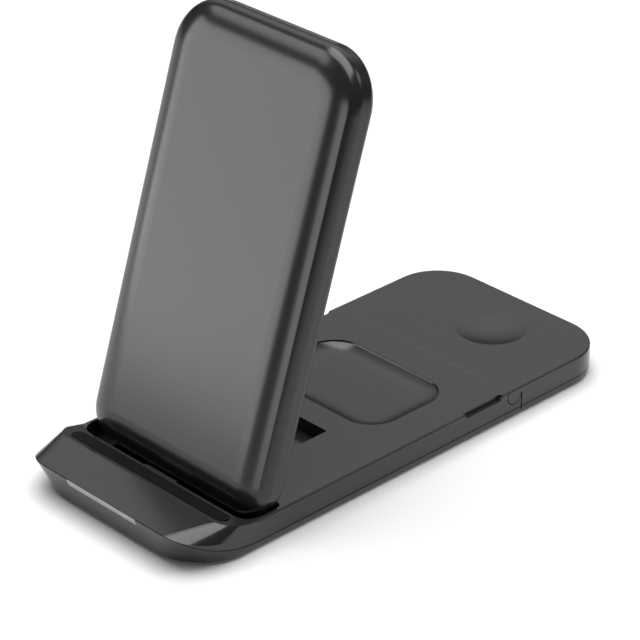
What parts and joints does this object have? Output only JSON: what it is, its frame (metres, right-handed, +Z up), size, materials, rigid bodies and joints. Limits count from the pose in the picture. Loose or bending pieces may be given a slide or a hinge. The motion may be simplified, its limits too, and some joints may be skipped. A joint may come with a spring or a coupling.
{
  "type": "three in one wireless charger",
  "caption": "Foldable desk charger with a leaning phone panel over a front ledge, a shallow earbud tray and a hinged tail with a round watch dish.",
  "frame": {"origin": "centre of the overall box in plan, on the surface the feet stand on", "axes": "+Y runs from the nose to the tail, +Z up, +X to the right of a viewer who faces the phone panel"},
  "size_m": [0.08, 0.1872, 0.145],
  "materials": {
    "shell_grey": "fine satin, moulded",
    "soft_black": "matte",
    "light_white": "frosted",
    "steel": "brushed",
    "board_green": "satin",
    "copper": "wound wire",
    "ferrite": "matte",
    "prop_black": "satin"
  },
  "bodies": {
    "base": {"base_top": "shell_grey", "base_bottom": "shell_grey", "ledge_pad": "soft_black", "light_bar": "light_white", "light_board": "board_green", "main_board": "board_green", "usb_socket": "steel", "usb_tongue": "prop_black", "tray_coil": "copper", "tray_ferrite": "ferrite", "ballast": "steel", "base_feet": "soft_black", "base_screws": "steel", "panel_pin": "steel", "hinge_washers": "steel", "prop_pin": "steel", "tail_brackets": "steel"},
    "panel": {"panel_front": "shell_grey", "panel_back": "shell_grey", "phone_coil": "copper", "phone_ferrite": "ferrite", "panel_board": "board_green", "panel_screws": "steel", "hinge_arms": "steel"},
    "prop": {"prop_leg": "prop_black", "prop_roller": "soft_black"},
    "tail": {"tail_top": "shell_grey", "tail_bottom": "shell_grey", "watch_coil": "copper", "watch_ferrite": "ferrite", "tail_pins": "steel", "tail_feet": "soft_black", "tail_screws": "steel"}
  },
  "joints": [
    {"name": "panel_fold", "type": "hinge", "parent": "base", "child": "panel", "pos_m": [0, -0.05385, 0.0085], "axis": [1, 0, 0], "range_deg": [-52, 0]},
    {"name": "prop_swing", "type": "hinge", "parent": "base", "child": "prop", "pos_m": [0, -0.03585, 0.0085], "axis": [1, 0, 0], "range_deg": [-104, 0]},
    {"name": "tail_flip", "type": "hinge", "parent": "base", "child": "tail", "pos_m": [0, 0.04644, 0.0084], "axis": [1, 0, 0], "range_deg": [0, 60]}
  ],
  "couplings": [
    {"joint": "prop_swing", "follows": "panel_fold", "ratio": 2}
  ]
}
